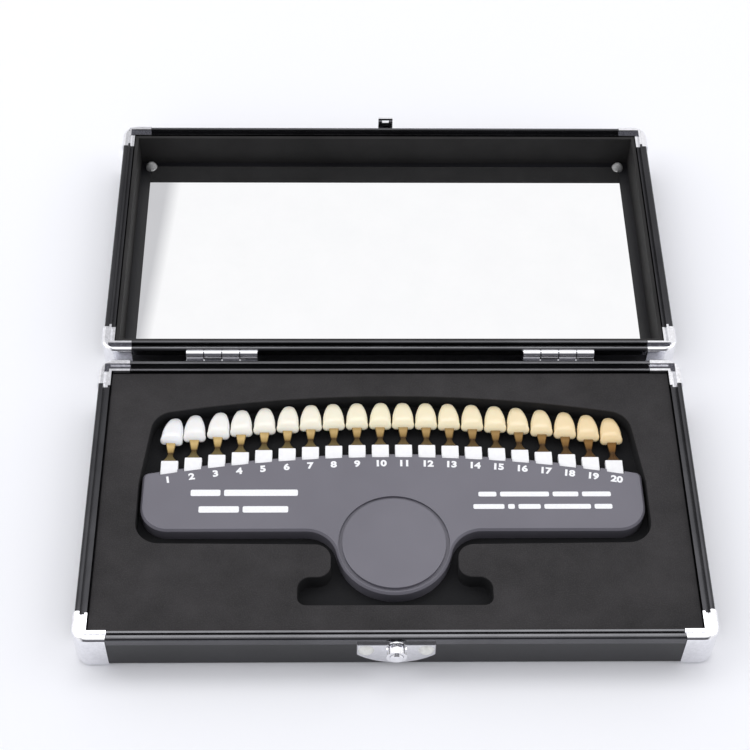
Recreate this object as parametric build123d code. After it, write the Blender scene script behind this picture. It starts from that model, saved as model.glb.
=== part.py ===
"""Dental shade guide in its hinged carrying case.

The case lies open and flat: the base holds a foam bed with the guide in it, and the lid,
turned over on its two hinges, holds a mirror.  The guide is a curved holder with twenty
tooth tabs.  Millimetres.  X runs along the case, Y from the front (latch) to the back
(hinges and lid), Z up.  The parts are drawn from the middle of the base's underside and
saved with the origin under the middle of the whole open kit.
"""
from build123d import *
import math
import os

# Case, the same for the base and the lid
case_width = 235.0
case_depth = 128.0
half_height = 18.5
corner_radius = 5.4
wall = 1.6
floor_thickness = 1.2
panel_recess = 0.3

# Rim rail, a section run round the top of each half
rail_height = 3.8
rail_width = 4.5
shoulder_width = 2.0
shoulder_round = 1.2
groove_depth = 2.6
lip_width = 0.8
lip_drop = 1.3
tongue_width = 0.9
tongue_height = 1.6
tongue_clearance = 0.4
land_drop = 0.6

# Corner castings
casting_wall = 0.6
casting_leg = 12.0
casting_top = 0.2
casting_lip = 0.2
casting_flange = 5.0
casting_flange_radius = 14.0
casting_edge_round = 1.4

# Hinges
rim_gap = 0.8
hinge_gap = 5.3
barrel_radius = 1.8
pin_radius = 0.9
pin_clearance = 0.05
knuckle_width = 6.85
knuckle_gap = 0.45
knuckle_count = 4
leaf_thickness = 0.7
leaf_drop = 9.0
hinge_x = 68.5

# Rivets
rivet_shank = 0.7
rivet_head = 1.5
rivet_dome = 0.7
rivet_spacing = 16.0
rivet_clearance = 0.03

# Latch on the base and catch on the lid
latch_length = 28.8
latch_plate_thickness = 0.9
latch_top = 15.9
latch_end_height = 7.4
latch_height = 13.4
latch_rivet_x = 11.0
latch_rivet_z = 11.9
latch_rivet_shank = 1.0
latch_rivet_head = 3.0
latch_rivet_dome = 1.6
housing_radius = 3.8
housing_bore = 3.0
housing_length = 5.2
housing_z = 14.4
mouth_radius = 2.6
mouth_thickness = 0.5
bore_floor = 0.5
button_travel = 0.9
button_head_radius = 2.5
button_flange_radius = 2.9
button_flange = 0.7
button_proud = 0.8
button_dome = 0.3
button_stem_radius = 0.6
button_stem = 2.3
button_play = 0.1
spring_play = 0.05
spring_radius = 0.92
spring_wire = 0.15
spring_turns = 4
catch_width = 6.4
catch_thickness = 0.8
catch_standoff = 1.7
catch_reach = 3.6
catch_pad_height = 8.4
catch_pad_drop = 0.5
catch_crank = 2.4
catch_crank_lag = 0.3
catch_clearance = 0.4
catch_window = 3.0
catch_window_height = 1.4
catch_window_below_tip = 1.2
catch_rivet_drop = 2.4
catch_rivet_spacing = 3.8
catch_rivet_head = 1.1

# Lid lining and mirror
lining_width = 6.4
lining_drop = 1.0
lining_clearance = 0.3
mirror_side_gap = 4.85
mirror_end_gap = 3.6
mirror_thickness = 1.3
mirror_glue = 0.05
dab_clearance = 0.02
dab_length = 5.4
dab_width = 4.2
dab_height = 2.6

# Foam bed
foam_drop = 2.8
foam_clearance = 0.3
foam_lift = 0.05
recess_floor = 7.95
recess_margin = 1.2
recess_crown_gap = 0.6
recess_shoulder_inset = 4.0
recess_side_bend_y = 6.0
recess_foot_y = -21.2
finger_nose_x = 24.0
finger_nose_top = -22.0
finger_nose_bottom = -36.2
finger_well_x = 36.4
finger_well_below_lobe = 5.6
recess_rounds = (9.0, 20.0, 9.5, 6.0, 5.0, 5.0, 3.5)

# Guide holder
guide_thickness = 6.0
guide_half_length = 97.2
guide_bottom_y = -14.7
guide_corner_radius = 11.0
guide_top_corner_radius = 2.5
guide_edge_round = 0.8
guide_lift = 0.05
arc_radius = 505.0
notch_y = 19.1
notch_depth = 1.9
disc_y = -20.4
lobe_radius = 22.2
disc_radius = 19.7
groove_outer_radius = 21.2
disc_groove_depth = 0.9
disc_rise = 0.35
neck_radius = 12.0

# Tabs, twenty stems and teeth
tab_count = 20
tab_pitch = 9.2
foot_width = 6.7
foot_thickness = 2.4
foot_above = 7.3
foot_below = 7.0
pocket_clearance = 0.1
pocket_back = 1.65
foot_corner_inset = 0.6
neck_end_width = 3.9
neck_end_thickness = 1.5
neck_waist_width = 2.2
neck_waist_thickness = 1.3
neck_waist_rise = 0.1
neck_waist_share = 0.45
neck_flank_hollow = 0.25
tooth_y = 15.0
tooth_length = 13.0
tooth_width = 8.6
tooth_thickness = 3.4
tooth_heel_round = 1.3
tooth_side_inset = 0.4
tooth_crown_half = 2.3
tooth_crown_drop = 1.3
tooth_face_radius = 22.0
tooth_lift = 1.05
tooth_widest_share = 0.2
tooth_side_share = 0.55
tooth_bulge_share = 0.36
peg_width = 2.2
peg_thickness = 1.1
peg_length = 4.0
peg_rise = 1.2
peg_clearance = 0.05
tooth_leans = {0: -6.5, 1: 0.5, 2: -4.0, 5: -2.0, 7: 2.0, 9: -2.5, 12: 1.5, 15: 2.5, 17: -1.5, 19: 2.0}

# Places that follow from the sizes above
half_x = case_width / 2
half_y = case_depth / 2
rail_bottom = half_height - rail_height
floor_bottom = casting_wall
floor_top = floor_bottom + floor_thickness
inner_wall = panel_recess + wall
lid_y = case_depth + hinge_gap
axis_y = half_y + hinge_gap / 2
axis_z = half_height + rim_gap / 2
foam_top = half_height - foam_drop
guide_back = recess_floor + guide_lift
guide_face = guide_back + guide_thickness
foot_back = guide_back + pocket_back + pocket_clearance
foot_face = foot_back + foot_thickness
foot_middle = (foot_back + foot_face) / 2
tooth_back = foot_back + tooth_lift
peg_z = tooth_back + peg_rise
mirror_width = case_width - 2 * (lining_width + mirror_side_gap)
mirror_depth = case_depth - 2 * (lining_width + mirror_end_gap)
latch_rail_y = -half_y
lid_front_y = lid_y + half_y
kit_front_y = -half_y - housing_length - button_proud
kit_back_y = lid_front_y + catch_standoff + catch_thickness
kit_middle_y = (kit_front_y + kit_back_y) / 2


def block(x0, x1, y0, y1, z0, z1):
    """Box between two corners."""
    return Pos((x0 + x1) / 2, (y0 + y1) / 2, (z0 + z1) / 2) * Box(x1 - x0, y1 - y0, z1 - z0)


def slab(inset, z0, z1, radius=None):
    """Case outline moved in by inset, from z0 to z1."""
    width = case_width - 2 * inset
    depth = case_depth - 2 * inset
    outline = Rectangle(width, depth) if radius is None else RectangleRounded(width, depth, radius)
    return extrude(Pos(0, 0, z0) * outline, z1 - z0)


def cylinder_y(x, y0, y1, z, radius):
    """Cylinder along Y between y0 and y1."""
    return Pos(x, (y0 + y1) / 2, z) * Rot(90, 0, 0) * Cylinder(radius, y1 - y0)


def cylinder_x(x0, x1, y, z, radius):
    """Cylinder along X between x0 and x1."""
    return Pos((x0 + x1) / 2, y, z) * Rot(0, 90, 0) * Cylinder(radius, x1 - x0)


def drop(x):
    """How far the guide's arc has fallen at x."""
    return arc_radius - math.sqrt(arc_radius ** 2 - x ** 2)


def tab_x(index):
    return (index - (tab_count - 1) / 2) * tab_pitch


# Case halves

def tray():
    """Panel box of one half: floor and four walls."""
    outside = slab(panel_recess, floor_bottom, rail_bottom, corner_radius - panel_recess)
    inside = slab(inner_wall, floor_top, rail_bottom, corner_radius - inner_wall)
    return outside - inside


def base_section():
    """Base rail: rounded shoulder, groove and low inner lip."""
    groove_z = half_height - groove_depth
    lip_z = half_height - lip_drop
    lip_s = rail_width - lip_width
    points = [
        (0, rail_bottom), (0, half_height), (shoulder_width, half_height), (shoulder_width, groove_z),
        (lip_s, groove_z), (lip_s, lip_z), (rail_width, lip_z), (rail_width, rail_bottom),
    ]
    return round_shoulder(make_face(Polyline(*points, close=True)), shoulder_width)


def lid_section():
    """Lid rail: rounded shoulder and a tongue that enters the base's groove."""
    land_z = half_height - land_drop
    tongue_s = shoulder_width + tongue_clearance
    shoulder = tongue_s - tongue_clearance
    tongue_z = half_height + tongue_height
    points = [
        (0, rail_bottom), (0, half_height), (shoulder, half_height), (shoulder, land_z),
        (tongue_s, land_z), (tongue_s, tongue_z), (tongue_s + tongue_width, tongue_z),
        (tongue_s + tongue_width, land_z), (rail_width, land_z), (rail_width, rail_bottom),
    ]
    return round_shoulder(make_face(Polyline(*points, close=True)), shoulder)


def round_shoulder(face, shoulder):
    """Round the outer top corner of a rail section."""
    tops = [v for v in face.vertices() if abs(v.Y - half_height) < 0.01]
    outer = [v for v in tops if v.X < shoulder / 2]
    return fillet(outer, min(shoulder_round, 0.6 * shoulder))


def rails(section):
    """Four straight rails between the corner castings."""
    long_rail = case_width - 2 * casting_leg
    short_rail = case_depth - 2 * casting_leg
    sides = [
        (Plane(origin=(-long_rail / 2, -half_y, 0), x_dir=(0, 1, 0), z_dir=(1, 0, 0)), long_rail),
        (Plane(origin=(long_rail / 2, half_y, 0), x_dir=(0, -1, 0), z_dir=(-1, 0, 0)), long_rail),
        (Plane(origin=(-half_x, short_rail / 2, 0), x_dir=(1, 0, 0), z_dir=(0, -1, 0)), short_rail),
        (Plane(origin=(half_x, -short_rail / 2, 0), x_dir=(-1, 0, 0), z_dir=(0, 1, 0)), short_rail),
    ]
    return [extrude(plane * section, length) for plane, length in sides]


def corner_castings(is_lid):
    """Four chromed corner castings that cap the rim, wrap the walls and turn under the floor."""
    top = half_height + casting_top
    outer_radius = corner_radius + casting_wall
    shell = slab(-casting_wall, 0, top, outer_radius)
    ends = shell.edges().group_by(Axis.Z)
    shell = fillet(ends[0] + ends[-1], casting_edge_round)
    shell -= slab(panel_recess, floor_bottom, rail_bottom, corner_radius - panel_recess)
    shell -= slab(casting_flange, -1, floor_bottom, casting_flange_radius)
    inner = rail_width + casting_lip
    shell -= slab(inner, rail_bottom, top + 1)
    if is_lid:
        tongue_s = shoulder_width + tongue_clearance
        tongue = slab(tongue_s, rail_bottom, half_height + tongue_height)
        tongue -= slab(tongue_s + tongue_width, rail_bottom, half_height + tongue_height)
        shell -= slab(shoulder_width, half_height - land_drop + casting_lip, top + 1)
        shell += tongue
    else:
        lip_s = rail_width - lip_width
        groove = slab(shoulder_width, half_height - groove_depth, top + 1)
        groove -= slab(lip_s, half_height - groove_depth, top + 1)
        shell -= groove
        shell -= slab(lip_s, half_height - lip_drop + casting_lip, top + 1)
    reach = casting_wall + 1
    pieces = []
    for sx in (-1, 1):
        for sy in (-1, 1):
            x0, x1 = sorted((sx * (half_x - casting_leg), sx * (half_x + reach)))
            y0, y1 = sorted((sy * (half_y - casting_leg), sy * (half_y + reach)))
            pieces.append(shell & block(x0, x1, y0, y1, -1, half_height + tongue_height + 1))
    return pieces


# Hinges

def hinge_starts():
    """Left end of each hinge barrel."""
    length = knuckle_count * knuckle_width + (knuckle_count - 1) * knuckle_gap
    return [-hinge_x - length / 2, hinge_x - length / 2]


def hinge_length():
    return knuckle_count * knuckle_width + (knuckle_count - 1) * knuckle_gap


def hinge_leaf(start, first_knuckle):
    """Leaf flat on the base's rear rail, with every second knuckle rolled from its top edge."""
    y0 = half_y
    foot_z0 = axis_z - barrel_radius
    leaf = block(start, start + hinge_length(), y0, y0 + leaf_thickness,
                 half_height - leaf_drop, foot_z0 + leaf_thickness)
    for k in range(first_knuckle, knuckle_count, 2):
        x0 = start + k * (knuckle_width + knuckle_gap)
        x1 = x0 + knuckle_width
        leaf += block(x0, x1, y0, axis_y, foot_z0, foot_z0 + leaf_thickness)
        leaf += cylinder_x(x0, x1, axis_y, axis_z, barrel_radius)
    leaf -= cylinder_x(start - 1, start + hinge_length() + 1, axis_y, axis_z, pin_radius + pin_clearance)
    for x in rivet_places(start):
        leaf -= cylinder_y(x, y0 - 1, y0 + 2, rivet_z(), rivet_shank + rivet_clearance)
    return leaf


def rivet_places(start):
    middle = start + hinge_length() / 2
    return [middle - rivet_spacing / 2, middle + rivet_spacing / 2]


def rivet_z():
    """Rivets sit midway between the leaf's lower edge and the rail."""
    return (half_height - leaf_drop + rail_bottom) / 2


def rivet(x, seat_y, tail_y, z, shank, head, dome):
    """Round-head rivet: the head stands on seat_y, the shank runs in to tail_y."""
    outward = 1 if seat_y > tail_y else -1
    body = cylinder_y(x, min(seat_y, tail_y), max(seat_y, tail_y), z, shank)
    ball_radius = (head ** 2 + dome ** 2) / (2 * dome)
    ball = Pos(x, seat_y + outward * (dome - ball_radius), z) * Sphere(ball_radius)
    y0, y1 = sorted((seat_y, seat_y + outward * (dome + 1)))
    cap = ball & block(x - head - 1, x + head + 1, y0, y1, z - head - 1, z + head + 1)
    return body + cap


def over_axis(shape):
    """Mirror image across the hinge axis, which takes a base piece to the open lid."""
    return mirror(shape, Plane(origin=(0, axis_y, 0), z_dir=(0, 1, 0)))


def hinge_rivets():
    """Rivets of the two base leaves."""
    seat = half_y + leaf_thickness
    tail = half_y - inner_wall
    places = [x for start in hinge_starts() for x in rivet_places(start)]
    return [rivet(x, seat, tail, rivet_z(), rivet_shank, rivet_head, rivet_dome) for x in places]


def hinge_pin(start):
    return cylinder_x(start, start + hinge_length(), axis_y, axis_z, pin_radius)


# Latch

def latch_plate():
    """Boat-shaped plate with a round housing, slotted on top for the lid's catch."""
    back = latch_rail_y
    front = back - latch_plate_thickness
    half = latch_length / 2
    low = latch_top - latch_height
    outline = Line((-half, latch_top), (half, latch_top))
    outline += Line((half, latch_top), (half, latch_top - latch_end_height))
    outline += ThreePointArc((half, latch_top - latch_end_height), (0, low),
                             (-half, latch_top - latch_end_height))
    outline += Line((-half, latch_top - latch_end_height), (-half, latch_top))
    face = Plane(origin=(0, back, 0), x_dir=(1, 0, 0), z_dir=(0, -1, 0)) * make_face(outline)
    plate = extrude(face, latch_plate_thickness)
    plate = chamfer(plate.faces().sort_by(Axis.Y)[0].edges(), latch_plate_thickness / 3)
    plate += cylinder_y(0, back - housing_length, front, housing_z, housing_radius)
    nose = back - housing_length
    plate -= cylinder_y(0, nose + mouth_thickness, back - bore_floor, housing_z, housing_bore)
    plate -= cylinder_y(0, nose - 1, back - bore_floor, housing_z, mouth_radius)
    slot_out = catch_standoff + catch_thickness + catch_clearance
    slot_in = catch_standoff - catch_clearance
    slot_half = catch_width / 2 + catch_clearance
    plate -= block(-slot_half, slot_half, back - slot_out, back - slot_in, catch_tip() - catch_clearance,
                   housing_z + housing_radius + 1)
    for x in (-latch_rivet_x, latch_rivet_x):
        plate -= cylinder_y(x, front - 1, back + 1, latch_rivet_z, latch_rivet_shank + rivet_clearance)
    return plate


def catch_tip():
    """Height of the catch's tip over the base when the lid is shut."""
    return 2 * axis_z - (half_height + catch_reach)


def button_parts():
    """Places of the button along Y, outward from the front rail: dome, flange and stem ends."""
    flange_front = housing_length - mouth_thickness - button_play
    return housing_length + button_proud, flange_front, flange_front - button_flange


def latch_button():
    """Push button: head through the mouth, flange behind it and a stem in the spring."""
    nose, flange_front, flange_back = button_parts()
    back = latch_rail_y
    button = cylinder_y(0, back - nose, back - flange_back, housing_z, button_head_radius)
    button = chamfer(button.faces().sort_by(Axis.Y)[0].edges(), button_dome)
    button += cylinder_y(0, back - flange_front, back - flange_back, housing_z, button_flange_radius)
    stem_end = back - flange_back + button_stem
    button += cylinder_y(0, back - flange_back, stem_end, housing_z, button_stem_radius)
    return button


def latch_spring():
    """Coil spring round the button's stem, drawn at the length it has with the button pressed."""
    _, _, flange_back = button_parts()
    y0 = latch_rail_y - bore_floor - spring_wire
    length = flange_back - button_travel - bore_floor - 2 * spring_wire - spring_play
    path = Helix(pitch=length / spring_turns, height=length, radius=spring_radius)
    wire = Plane(origin=path @ 0, z_dir=path % 0) * Circle(spring_wire)
    coil = sweep(wire, path=path, is_frenet=True)
    return Pos(0, y0, housing_z) * Rot(90, 0, 0) * coil


def latch_rivets():
    seat = latch_rail_y - latch_plate_thickness
    tail = latch_rail_y + inner_wall
    return [rivet(x, seat, tail, latch_rivet_z, latch_rivet_shank, latch_rivet_head, latch_rivet_dome)
            for x in (-latch_rivet_x, latch_rivet_x)]


def catch_rivet_places():
    top = rail_bottom - catch_rivet_drop
    return [top, top - catch_rivet_spacing]


def catch_hook():
    """Bent strip riveted to the lid's front: pad, crank and a windowed tongue past the rim."""
    pad_top = rail_bottom - catch_pad_drop
    pad_bottom = pad_top - catch_pad_height
    tip = half_height + catch_reach
    bend = pad_top + catch_crank
    inner, outer = catch_standoff, catch_standoff + catch_thickness
    face = make_face(Polyline(
        (0, pad_bottom), (0, pad_top), (inner, bend), (inner, tip), (outer, tip),
        (outer, bend - catch_crank_lag), (catch_thickness, pad_top - catch_crank_lag),
        (catch_thickness, pad_bottom), close=True))
    plane = Plane(origin=(-catch_width / 2, lid_front_y, 0), x_dir=(0, 1, 0), z_dir=(1, 0, 0))
    hook = extrude(plane * face, catch_width)
    window_top = tip - catch_window_below_tip
    hook -= block(-catch_window / 2, catch_window / 2, lid_front_y + inner - 1, lid_front_y + outer + 1,
                  window_top - catch_window_height, window_top)
    for z in catch_rivet_places():
        hook -= cylinder_y(0, lid_front_y - 1, lid_front_y + 2, z, rivet_shank + rivet_clearance)
    return hook


def catch_rivets():
    seat = lid_front_y + catch_thickness
    tail = lid_front_y - inner_wall
    return [rivet(0, seat, tail, z, rivet_shank, catch_rivet_head, rivet_dome) for z in catch_rivet_places()]


# Lid insides

def lid_lining():
    """Black lining frame on the lid's four walls, with a ledge up beside the rail."""
    gap = inner_wall + lining_clearance
    foot_z = floor_top + mirror_glue
    low = slab(gap, foot_z, rail_bottom - lining_clearance, corner_radius - gap)
    high = slab(rail_width + casting_lip + lining_clearance, foot_z, half_height - lining_drop)
    hollow = slab(lining_width, floor_top - 1, half_height)
    return (low + high) - hollow


def mirror_glass():
    z0 = floor_top + mirror_glue
    return block(-mirror_width / 2, mirror_width / 2, -mirror_depth / 2, mirror_depth / 2,
                 z0, z0 + mirror_thickness)


def mirror_dabs():
    """Four dabs of adhesive that hold the mirror's corners."""
    half_width = mirror_width / 2 + dab_clearance
    half_depth = mirror_depth / 2 + dab_clearance
    glass_top = floor_top + mirror_glue + mirror_thickness + dab_clearance
    keep_out = block(-half_width, half_width, -half_depth, half_depth, 0, glass_top)
    room = slab(lining_width + dab_clearance, floor_top, half_height)
    dabs = []
    for sx in (-1, 1):
        for sy in (-1, 1):
            ball = Pos(sx * mirror_width / 2, sy * mirror_depth / 2, floor_top) * scale(
                Sphere(1), by=(dab_length / 2, dab_width / 2, mirror_thickness + dab_height))
            dabs.append((ball & room) - keep_out)
    return dabs


# Foam bed and guide

def recess_outline():
    """Outline of the foam's recess: the guide's arc, a gap for fingers below and two wells."""
    half_len = guide_half_length + recess_margin
    shoulder_x = half_len - recess_shoulder_inset
    crown = notch_y + tooth_y + tooth_length + recess_crown_gap
    well_bottom = disc_y - lobe_radius - finger_well_below_lobe
    right = [
        (shoulder_x, crown - drop(shoulder_x)), (half_len, recess_side_bend_y), (half_len, recess_foot_y),
        (finger_nose_x, finger_nose_top), (finger_nose_x, finger_nose_bottom),
        (finger_well_x, finger_nose_bottom), (finger_well_x, well_bottom),
    ]
    left = [(-x, y) for x, y in reversed(right)]
    lines = [Line(a, b) for a, b in zip(right, right[1:])]
    lines += [Line(right[-1], left[0])]
    lines += [Line(a, b) for a, b in zip(left, left[1:])]
    lines += [ThreePointArc(left[-1], (0, crown), right[0])]
    face = make_face(lines)
    for corner, radius in zip(right, recess_rounds):
        for sign in (-1, 1):
            spot = Vector(sign * corner[0], corner[1], 0)
            vertex = face.vertices().sort_by_distance(spot)[0]
            face = fillet(vertex, radius)
    return face


def foam_insert():
    gap = inner_wall + foam_clearance
    low = slab(gap, floor_top + foam_lift, rail_bottom - foam_clearance, corner_radius - gap)
    high = slab(rail_width + casting_lip + foam_clearance, floor_top + foam_lift, foam_top)
    recess = extrude(Pos(0, 0, recess_floor) * recess_outline(), foam_top)
    return (low + high) - recess


def holder_outline():
    """Curved bar with a round thumb lobe at the bottom."""
    top_mid = notch_y + notch_depth
    top_end = top_mid - drop(guide_half_length)
    x = guide_half_length
    lines = [
        ThreePointArc((-x, top_end), (0, top_mid), (x, top_end)),
        Line((x, top_end), (x, guide_bottom_y)),
        Line((x, guide_bottom_y), (-x, guide_bottom_y)),
        Line((-x, guide_bottom_y), (-x, top_end)),
    ]
    bar = make_face(lines)
    bar = fillet(bar.vertices().group_by(Axis.Y)[0], guide_corner_radius)
    bar = fillet(bar.vertices().sort_by_distance(Vector(-x, top_end, 0))[0], guide_top_corner_radius)
    bar = fillet(bar.vertices().sort_by_distance(Vector(x, top_end, 0))[0], guide_top_corner_radius)
    lobe = Pos(0, disc_y) * Circle(lobe_radius)
    joined = bar + lobe
    necks = [v for v in joined.vertices() if abs(v.Y - guide_bottom_y) < 0.01 and abs(v.X) < lobe_radius + 1]
    return fillet(necks, neck_radius)


def shade_holder():
    """Holder: moulded bar with twenty pockets, a notched front skin and a ringed thumb disc."""
    body = extrude(Pos(0, 0, guide_back) * holder_outline(), guide_thickness)
    front = body.faces().sort_by(Axis.Z)[-1]
    body = chamfer(front.edges(), guide_edge_round)
    body += Pos(0, disc_y, guide_face) * extrude(Circle(disc_radius), disc_rise)
    ring = Circle(groove_outer_radius) - Circle(disc_radius)
    body -= Pos(0, disc_y, guide_face - disc_groove_depth) * extrude(ring, disc_groove_depth)
    for index in range(tab_count):
        body -= pocket(tab_x(index))
    return body


def pocket(x):
    """Room for one tab's foot: a pocket open at the top edge, and a notch in the front skin."""
    half = foot_width / 2 + pocket_clearance
    low = notch_y - drop(x) - foot_below - pocket_clearance
    high = notch_y + notch_depth + 2
    room = block(x - half, x + half, low, high, foot_back - pocket_clearance, foot_face + pocket_clearance)
    slope = math.degrees(math.asin(x / arc_radius))
    notch = Pos(x, notch_y - drop(x), 0) * Rot(0, 0, -slope) * block(
        -half - 1, half + 1, 0, 6, foot_face, guide_face + 1)
    notch &= block(x - half, x + half, low, high + 4, foot_face, guide_face + 1)
    return room + notch


def stem(index):
    """Tab stem: flat foot, hourglass neck and a peg for the tooth."""
    x = tab_x(index)
    y0 = notch_y - drop(x)
    half = foot_width / 2
    foot = block(x - half, x + half, y0 - foot_below, y0 + foot_above, foot_back, foot_face)
    top = y0 + tooth_y
    low = y0 + foot_above
    waist = low + (top - low) * neck_waist_share
    waist_z = foot_middle + neck_waist_rise
    foot_half = foot_width / 2 - foot_corner_inset
    flank = (foot_half + neck_waist_width / 2) / 2 - neck_flank_hollow
    front = make_face([
        Line((-foot_half, low), (foot_half, low)),
        ThreePointArc((foot_half, low), (flank, (low + waist) / 2), (neck_waist_width / 2, waist)),
        Line((neck_waist_width / 2, waist), (neck_end_width / 2, top)),
        Line((neck_end_width / 2, top), (-neck_end_width / 2, top)),
        Line((-neck_end_width / 2, top), (-neck_waist_width / 2, waist)),
        ThreePointArc((-neck_waist_width / 2, waist), (-flank, (low + waist) / 2), (-foot_half, low)),
    ])
    neck = extrude(Pos(x, 0, foot_back - 1) * front, foot_thickness + tooth_lift + 2)
    side = make_face(Polyline(
        (low, foot_back), (waist, waist_z - neck_waist_thickness / 2), (top, peg_z - neck_end_thickness / 2),
        (top, peg_z + neck_end_thickness / 2), (waist, waist_z + neck_waist_thickness / 2), (low, foot_face),
        close=True))
    profile = Plane(origin=(x - foot_width, 0, 0), x_dir=(0, 1, 0), z_dir=(1, 0, 0)) * side
    neck &= extrude(profile, 2 * foot_width)
    peg = block(x - peg_width / 2, x + peg_width / 2, top, top + peg_length,
                peg_z - peg_thickness / 2, peg_z + peg_thickness / 2)
    return foot + neck + peg


def tooth_outline():
    """Front view of a tooth tab: wide heel at the stem, narrow round top."""
    half = tooth_width / 2
    heel = half - tooth_heel_round
    knee_x = half - 0.25 * tooth_heel_round
    knee_y = 0.35 * tooth_heel_round
    widest = tooth_widest_share * tooth_length
    side = (half - tooth_side_inset, tooth_side_share * tooth_length)
    crown = (tooth_crown_half, tooth_length - tooth_crown_drop)
    return make_face([
        Line((-heel, 0), (heel, 0)),
        ThreePointArc((heel, 0), (knee_x, knee_y), (half, widest)),
        ThreePointArc((half, widest), side, crown),
        ThreePointArc(crown, (0, tooth_length), (-crown[0], crown[1])),
        ThreePointArc((-crown[0], crown[1]), (-side[0], side[1]), (-half, widest)),
        ThreePointArc((-half, widest), (-knee_x, knee_y), (-heel, 0)),
    ])


def tooth(index):
    """Tooth tab with a bulging front, socketed on its stem's peg and leaning a little."""
    body = extrude(Pos(0, 0, tooth_back) * tooth_outline(), tooth_thickness)
    bulge_z = tooth_back + tooth_thickness - tooth_face_radius
    body &= Pos(0, tooth_bulge_share * tooth_length, bulge_z) * Sphere(tooth_face_radius)
    body = Rot(0, 0, tooth_leans.get(index, 0.0)) * body
    body -= block(-tooth_width, tooth_width, -tooth_length, peg_clearance, tooth_back - 1, tooth_back + 6)
    socket_x = peg_width / 2 + peg_clearance
    socket_z = peg_thickness / 2 + peg_clearance
    body -= block(-socket_x, socket_x, -1, peg_length + peg_clearance, peg_z - socket_z, peg_z + socket_z)
    x = tab_x(index)
    return Pos(x, notch_y - drop(x) + tooth_y, 0) * body


def save(name, *solids):
    """One STEP file for each sub-part, moved to the kit's own origin."""
    flat = []
    for item in solids:
        flat.extend(item if isinstance(item, (list, tuple)) else [item])
    parts = [Pos(0, -kit_middle_y, 0) * solid for shape in flat for solid in shape.solids()]
    shape = parts[0] if len(parts) == 1 else Compound(children=parts)
    export_step(shape, f"parts/{name}.step")


def main():
    os.makedirs("parts", exist_ok=True)
    rivet_hole = rivet_shank + rivet_clearance

    latch_hole = latch_rivet_shank + rivet_clearance
    base_tray = tray()
    lid_tray = Pos(0, lid_y, 0) * tray()
    for x in [x for start in hinge_starts() for x in rivet_places(start)]:
        hole = cylinder_y(x, half_y - 5, half_y + 1, rivet_z(), rivet_hole)
        base_tray -= hole
        lid_tray -= over_axis(hole)
    for x in (-latch_rivet_x, latch_rivet_x):
        base_tray -= cylinder_y(x, -half_y - 1, -half_y + 5, latch_rivet_z, latch_hole)
    for z in catch_rivet_places():
        lid_tray -= cylinder_y(0, lid_front_y - 5, lid_front_y + 1, z, rivet_hole)
    save("base_tray", base_tray)
    save("lid_tray", lid_tray)
    save("base_rim_rails", rails(base_section()))
    save("lid_rim_rails", [Pos(0, lid_y, 0) * rail for rail in rails(lid_section())])
    save("base_corner_castings", corner_castings(False))
    save("lid_corner_castings", [Pos(0, lid_y, 0) * piece for piece in corner_castings(True)])

    starts = hinge_starts()
    save("base_hinge_leaves", [hinge_leaf(start, 0) for start in starts])
    save("lid_hinge_leaves", [over_axis(hinge_leaf(start, 1)) for start in starts])
    save("hinge_pins", [hinge_pin(start) for start in starts])
    save("base_rivets", hinge_rivets(), latch_rivets())
    save("lid_rivets", [over_axis(piece) for piece in hinge_rivets()], catch_rivets())

    save("latch_plate", latch_plate())
    save("latch_button", latch_button())
    save("latch_spring", latch_spring())
    save("catch_hook", catch_hook())

    save("lid_lining", Pos(0, lid_y, 0) * lid_lining())
    save("mirror", Pos(0, lid_y, 0) * mirror_glass())
    save("mirror_dabs", [Pos(0, lid_y, 0) * dab for dab in mirror_dabs()])

    save("foam_insert", foam_insert())
    save("shade_holder", shade_holder())
    for index in range(tab_count):
        save(f"stem_{index + 1:02d}", stem(index))
        save(f"tooth_{index + 1:02d}", tooth(index))


main()
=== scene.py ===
"""Dental shade guide in its open carrying case.

The case, hinges, latch, mirror and holder keep their solids and get materials. The teeth, the
stems and the foam bed get finer pieces in the same places, and the holder gets its print.
Lengths are in millimetres, except in the studio, where they are in metres.
"""
import math

import bmesh
import bpy
from mathutils import Matrix, Vector


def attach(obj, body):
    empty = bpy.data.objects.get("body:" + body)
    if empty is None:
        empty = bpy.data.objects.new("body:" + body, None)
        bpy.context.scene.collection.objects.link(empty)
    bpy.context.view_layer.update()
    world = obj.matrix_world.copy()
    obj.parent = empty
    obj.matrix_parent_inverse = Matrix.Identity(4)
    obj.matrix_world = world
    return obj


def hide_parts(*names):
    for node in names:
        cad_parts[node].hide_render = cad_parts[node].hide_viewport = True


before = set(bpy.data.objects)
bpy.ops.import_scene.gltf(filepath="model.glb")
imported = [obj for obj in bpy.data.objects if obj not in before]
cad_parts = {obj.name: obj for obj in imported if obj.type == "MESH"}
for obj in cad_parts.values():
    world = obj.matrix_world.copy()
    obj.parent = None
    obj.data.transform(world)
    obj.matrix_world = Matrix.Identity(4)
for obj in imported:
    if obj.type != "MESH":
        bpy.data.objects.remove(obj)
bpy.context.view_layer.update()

MM = 0.001

# Places shared with the solids, from the middle of the base's underside
KIT_MIDDLE_Y = 64.9
ARC_RADIUS = 505.0
NOTCH_Y = 19.1
GUIDE_FACE = 14.0
TAB_COUNT = 20
TAB_PITCH = 9.2


def place(x, y, z):
    """A point in metres from the middle of the open kit, given from the base's middle."""
    return Vector((x * MM, (y - KIT_MIDDLE_Y) * MM, z * MM))


def drop(x):
    """How far the guide's arc has fallen at x."""
    return ARC_RADIUS - math.sqrt(ARC_RADIUS ** 2 - x ** 2)


def tab_x(index):
    return (index - (TAB_COUNT - 1) / 2) * TAB_PITCH


# Camera

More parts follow.
